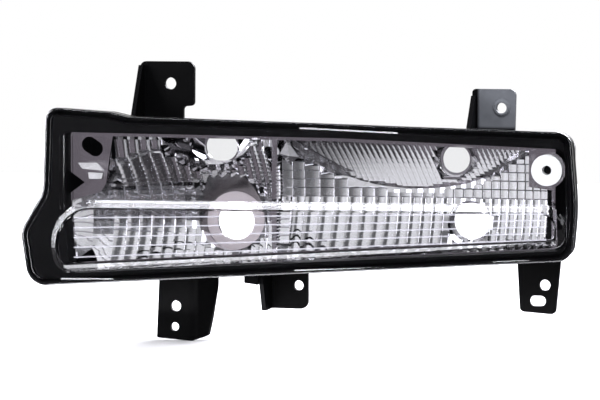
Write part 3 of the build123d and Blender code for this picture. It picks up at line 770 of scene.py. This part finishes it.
def make_crowns(name, material):
    """Half-round bars along the ribs, each with a ring of points at both ends."""
    points, faces, around = [], [], CROWN_SIDES + 1
    for rib in range(RIB_COUNT):
        first = len(points)
        for x, top, bottom in RIB_ENDS:
            z = top + (bottom - top) * rib / (RIB_COUNT - 1)
            for side in range(around):
                turn = math.pi * side / CROWN_SIDES
                depth = RIB_FACE + RIB_SINK - (CROWN_HEIGHT + RIB_SINK) * math.sin(turn)
                points.append((x, depth, z + CROWN_HALF * math.cos(turn)))
        second = first + around
        faces += bridge(first, second, around)
        faces += [tuple(range(second - 1, first - 1, -1)), tuple(range(second, second + around))]
    add_piece(name, lens_mesh(name, points, faces), material)


frosted, tree, shader = new_finish("frosted_clear", Base_Color=(0.6, 0.6, 0.66, 1), Alpha=0.35)
add_grain(tree, shader, scale=1800.0, height=0.00001, roughness=0.45, patch_range=0.1)
make_crowns("band_rib_crowns", frosted)

# %% [markdown]
# ## The floor
# The lamp stands on a plain pale table that takes its shadow. One face is enough for it. Seen in the mirror,
# such a table would fill the lower half of every flute with white. In a studio a dark cloth in front of the
# lamp would help. Here the table keeps its pale colour for the camera, and Light Path makes it dark in
# reflections.

# %% Floor
TABLE_FRONT, TABLE_BACK, TABLE_SIDE = -0.3, 1.2, 1.5
TABLE_PALE, TABLE_DARK, TABLE_ROUGHNESS = (0.9, 0.9, 0.9, 1), (0.02, 0.019, 0.02, 1), 0.9

lowest = cad_box[0].z
floor_mesh = bpy.data.meshes.new("floor")
floor_mesh.from_pydata([(-TABLE_SIDE, TABLE_FRONT, lowest), (TABLE_SIDE, TABLE_FRONT, lowest),
                        (TABLE_SIDE, TABLE_BACK, lowest), (-TABLE_SIDE, TABLE_BACK, lowest)],
                       [], [(0, 1, 2, 3)])
floor = bpy.data.objects.new("floor", floor_mesh)
bpy.context.scene.collection.objects.link(floor)
pale, tree, shader = new_finish("pale_floor", Roughness=TABLE_ROUGHNESS)
path = tree.nodes.new("ShaderNodeLightPath")
tint = lay_over(tree, TABLE_PALE, TABLE_DARK, path.outputs["Glossy Depth"])
tree.links.new(tint, shader.inputs["Base Color"])
floor.data.materials.append(pale)
print("floor at", round(lowest, 4))

# %% [markdown]
# ## The room
# What a mirror shows is the room, so the room matters more here than the lamps. A product photograph on white
# has light from all round and a darker place behind the camera. A photograph of a real studio could be
# wrapped round the scene; a few soft patches over the direction of view are easier to steer. Each patch is a
# colour and the soft steps that bound it, as an axis with the value where it is dark and the value where it
# is bright.

# %% World
WHITE, MAUVE, DARK = (1.0, 1.0, 1.0, 1), (0.185, 0.165, 0.185, 1), (0.05, 0.047, 0.05, 1)
DIM, SHELF, CEILING = (0.18, 0.18, 0.185, 1), (1.1, 1.1, 1.12, 1), (1.1, 1.1, 1.12, 1)
LEFT_WALL, RIGHT_WALL, BACK_WALL = (0.9, 0.9, 0.92, 1), (0.85, 0.85, 0.86, 1), (0.35, 0.35, 0.36, 1)
ROOM_PATCHES = (
    (MAUVE, (("X", -0.52, -0.46), ("X", 0.0, -0.06), ("Z", -0.7, -0.12))),
    (DIM, (("Z", 0.0, 0.12),)),
    (SHELF, (("Z", 0.0, 0.12), ("X", 0.3, -0.35))),
    (CEILING, (("Z", 0.2, 0.4), ("X", 0.35, 0.15))),
    (LEFT_WALL, (("X", -0.56, -0.66),)),
    (RIGHT_WALL, (("X", 0.52, 0.66),)),
    (WHITE, (("Z", 0.84, 0.94),)),
)
BEHIND = (("Y", 0.05, 0.20),)

world = bpy.data.worlds.new("studio")
bpy.context.scene.world = world
world.use_nodes = True
tree = world.node_tree
tree.nodes.clear()
path, place = tree.nodes.new("ShaderNodeLightPath"), tree.nodes.new("ShaderNodeTexCoord")
split = tree.nodes.new("ShaderNodeSeparateXYZ")
tree.links.new(place.outputs["Generated"], split.inputs[0])


def where(steps):
    """Mask that is 1 where every soft step of the direction is bright."""
    mask = None
    for axis, dark, bright in steps:
        step = tree.nodes.new("ShaderNodeMapRange")
        step.interpolation_type = "SMOOTHSTEP"
        step.inputs["From Min"].default_value, step.inputs["From Max"].default_value = dark, bright
        tree.links.new(split.outputs[axis], step.inputs["Value"])
        mask = both(tree, mask, step.outputs["Result"]) if mask else step.outputs["Result"]
    return mask


room = DARK
for colour, steps in ROOM_PATCHES:
    room = lay_over(tree, room, colour, where(steps))
behind = where(BEHIND)
room = lay_over(tree, room, BACK_WALL, behind)
room = lay_over(tree, room, WHITE, both(tree, behind, path.outputs["Is Transmission Ray"]))
print("room has", len(tree.nodes), "nodes")

# %% [markdown]
# ## What the outside of the lamp reflects
# The rim of the lens and the black housing stay black in the picture, with white only along edges that look
# at the backdrop. Black card round the lamp does this in a studio, but here it would darken the reflector as
# well. So the world is split by Light Path: a ray that has been reflected, but has not passed the lens on its
# way in and out again, sees a dark yard with the white backdrop. The camera itself sees white.

# %% Yard and backdrop
YARD_BLACK = (0.01, 0.01, 0.012, 1)
BACKDROP = (("Y", 0.35, 0.5), ("Z", 0.75, 0.55), ("X", 0.24, 0.12))
LENS_CROSSINGS, ONE_BOUNCE = 2.5, 0.5

outside, bounced = tree.nodes.new("ShaderNodeMath"), tree.nodes.new("ShaderNodeMath")
outside.operation, bounced.operation = "LESS_THAN", "GREATER_THAN"
outside.inputs[1].default_value, bounced.inputs[1].default_value = LENS_CROSSINGS, ONE_BOUNCE
tree.links.new(path.outputs["Transmission Depth"], outside.inputs[0])
tree.links.new(path.outputs["Glossy Depth"], bounced.inputs[0])
yard = lay_over(tree, YARD_BLACK, WHITE, where(BACKDROP))
seen = lay_over(tree, room, yard, both(tree, outside.outputs[0], bounced.outputs[0]))
seen = lay_over(tree, seen, WHITE, path.outputs["Is Camera Ray"])
sky, out = tree.nodes.new("ShaderNodeBackground"), tree.nodes.new("ShaderNodeOutputWorld")
tree.links.new(seen, sky.inputs["Color"])
tree.links.new(sky.outputs[0], out.inputs["Surface"])
print("world has", len(tree.nodes), "nodes")

# %% [markdown]
# ## The lamps
# Large soft boxes light the lamp from both sides, above, in front and behind. Sun lamps or points would give
# hard shadows and dots in the mirror. Each box faces the lens. Boxes that would show as a blot in the mirror,
# or through the lens, are hidden from those rays and still light the plastic. The box behind on the left does
# the opposite: it is there to be mirrored, and does not light the plastic.

# %% Soft boxes
LAMP_COLOUR = (0.94, 0.94, 1.0)
SIDEWAYS = Vector((1, 0, 0))
Softbox = namedtuple("Softbox", "place size power")
SOFTBOXES = {
    "glint_box": Softbox((-0.26, -0.26, 0.93), (0.6, 0.16), 0.9),
    "glint_core": Softbox((-0.28, -0.26, 0.92), (0.32, 0.12), 0.35),
    "top_box": Softbox((-0.26, 0.26, 0.93), (0.7, 0.3), 24.0),
    "back_left_box": Softbox((-0.9, 0.65, 0.0), (0.3, 0.6), 10.0),
    "left_box": Softbox((-1.3, -0.6, 0.4), (0.5, 1.2), 6.0),
    "right_box": Softbox((1.3, -0.5, 0.4), (0.5, 1.2), 4.0),
    "fill_box": Softbox((0.2, -1.2, 0.6), (0.8, 0.8), 16.0),
    "back_fill_box": Softbox((0.3, 1.2, 0.7), (0.8, 0.8), 25.0),
}


def area_lamp(name, place, away, lengthwise, size, power):
    """Area lamp at a place, shining against a direction, with its long side along another."""
    lamp = bpy.data.objects.new(name, bpy.data.lights.new(name, "AREA"))
    bpy.context.scene.collection.objects.link(lamp)
    lamp.data.shape, lamp.data.color, lamp.data.energy = "RECTANGLE", LAMP_COLOUR, power
    lamp.data.size, lamp.data.size_y = size
    lamp.location = LENS_MIDDLE + place
    side = (lengthwise - away * away.dot(lengthwise)).normalized()
    lamp.rotation_euler = Matrix((side, away.cross(side), away)).transposed().to_euler()
    print("lamp", name, "at", [round(v, 2) for v in lamp.location])
    return lamp


def softbox(name, place, size, power):
    """Area lamp that faces the lens."""
    return area_lamp(name, Vector(place), Vector(place).normalized(), SIDEWAYS, size, power)


boxes = {name: softbox(name, *box) for name, box in SOFTBOXES.items()}
boxes["back_left_box"].visible_diffuse = False
for name in ("top_box", "fill_box"):
    boxes[name].visible_glossy = False
for name in ("fill_box", "back_fill_box"):
    boxes[name].visible_transmission = False

# %% [markdown]
# ## Lamps for glints alone
# Four fine white lines lie along the rim of the lens in the picture, and the lower edge and the left end have
# a glint. They are reflections of bright strips, so strips make them here too; white paint on the rim would
# stay in place from every side. A strip for the rim stands where the flat of the rim mirrors it to the
# camera, and its power follows from the brightness that it should have. None of them lights the plastic.

# %% Glint strips
LINE_PLACE, LINE_SIZE, LINE_RADIANCE = (0.0, 0.0, -0.066), (0.29, 0.03), 3.0
END_PLACE, END_SIZE, END_RADIANCE = (-0.8, -0.58, 0.2), (0.35, 0.9), 6.0
RIM_LINES = (((2.0, 40.1), (56.0, 38.6)), ((-1.0, -38.7), (59.0, -35.7)),
             ((-138.0, -47.0), (-109.0, -46.6)), ((110.0, -31.3), (130.0, -30.1)))
RIM_DEPTH, RIM_LINE_AWAY, RIM_LINE_WIDTH, RIM_LINE_RADIANCE = 2.9, 100.0, 0.8, 11.0
FRONT_MIRROR = Vector((-0.26, -0.96, -0.08)).normalized()


def power_of(radiance, size):
    """Power that gives a lamp of a size its radiance."""
    return radiance * math.pi * size[0] * size[1]


glints = [softbox("line_box", LINE_PLACE, LINE_SIZE, power_of(LINE_RADIANCE, LINE_SIZE)),
          softbox("end_box", END_PLACE, END_SIZE, power_of(END_RADIANCE, END_SIZE))]
for number, line in enumerate(RIM_LINES, 1):
    left_end, right_end = (Vector((x, RIM_DEPTH, z)) / 1000 for x, z in line)
    middle = (left_end + right_end) / 2 + FRONT_MIRROR * RIM_LINE_AWAY / 1000
    size = ((right_end - left_end).length, RIM_LINE_WIDTH / 1000)
    glints.append(area_lamp(f"rim_line_{number}", middle, FRONT_MIRROR, right_end - left_end, size,
                            power_of(RIM_LINE_RADIANCE, size)))
for glint in glints:
    glint.visible_diffuse = glint.visible_transmission = False

# %% [markdown]
# ## The view transform
# The view transform stays Standard so that colours render as they are written.

# %% Finish
bpy.context.scene.view_settings.view_transform = "Standard"
